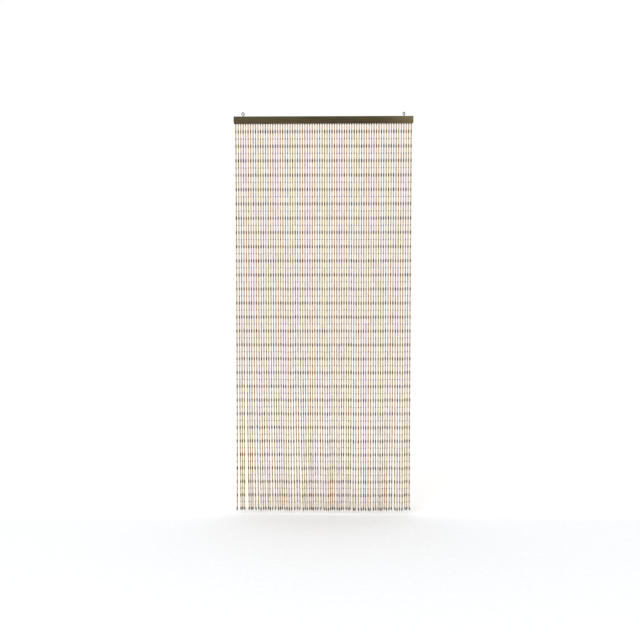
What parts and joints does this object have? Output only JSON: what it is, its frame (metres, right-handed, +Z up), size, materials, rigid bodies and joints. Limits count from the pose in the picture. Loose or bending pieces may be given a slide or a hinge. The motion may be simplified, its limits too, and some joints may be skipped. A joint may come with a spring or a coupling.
{
  "type": "bead curtain with top rail",
  "caption": "Doorway curtain of close-hung bead strings, pale tubes parted by dark beads, carried by a wooden top rail with two screw eyes.",
  "frame": {"origin": "the hanging point, midway between the two screw eyes at the inner top of their rings, where the hooks carry the curtain", "axes": "+Z is up; the curtain hangs in the XZ plane and its front faces -Y; +X is to the right seen from the front"},
  "size_m": [0.9091, 0.016, 2.0467],
  "materials": {
    "rail_wood": "dark olive-brown stain, satin",
    "eye_steel": "dull dark zinc",
    "pale_bead": "pale bamboo tube, light satin",
    "dark_bead": "turned bead, brown stain, satin",
    "thread": "twisted nylon thread"
  },
  "bodies": {
    "root": {"rail": "rail_wood", "eye_left": "eye_steel", "eye_right": "eye_steel", "strands": "pale_bead"}
  },
  "joints": []
}
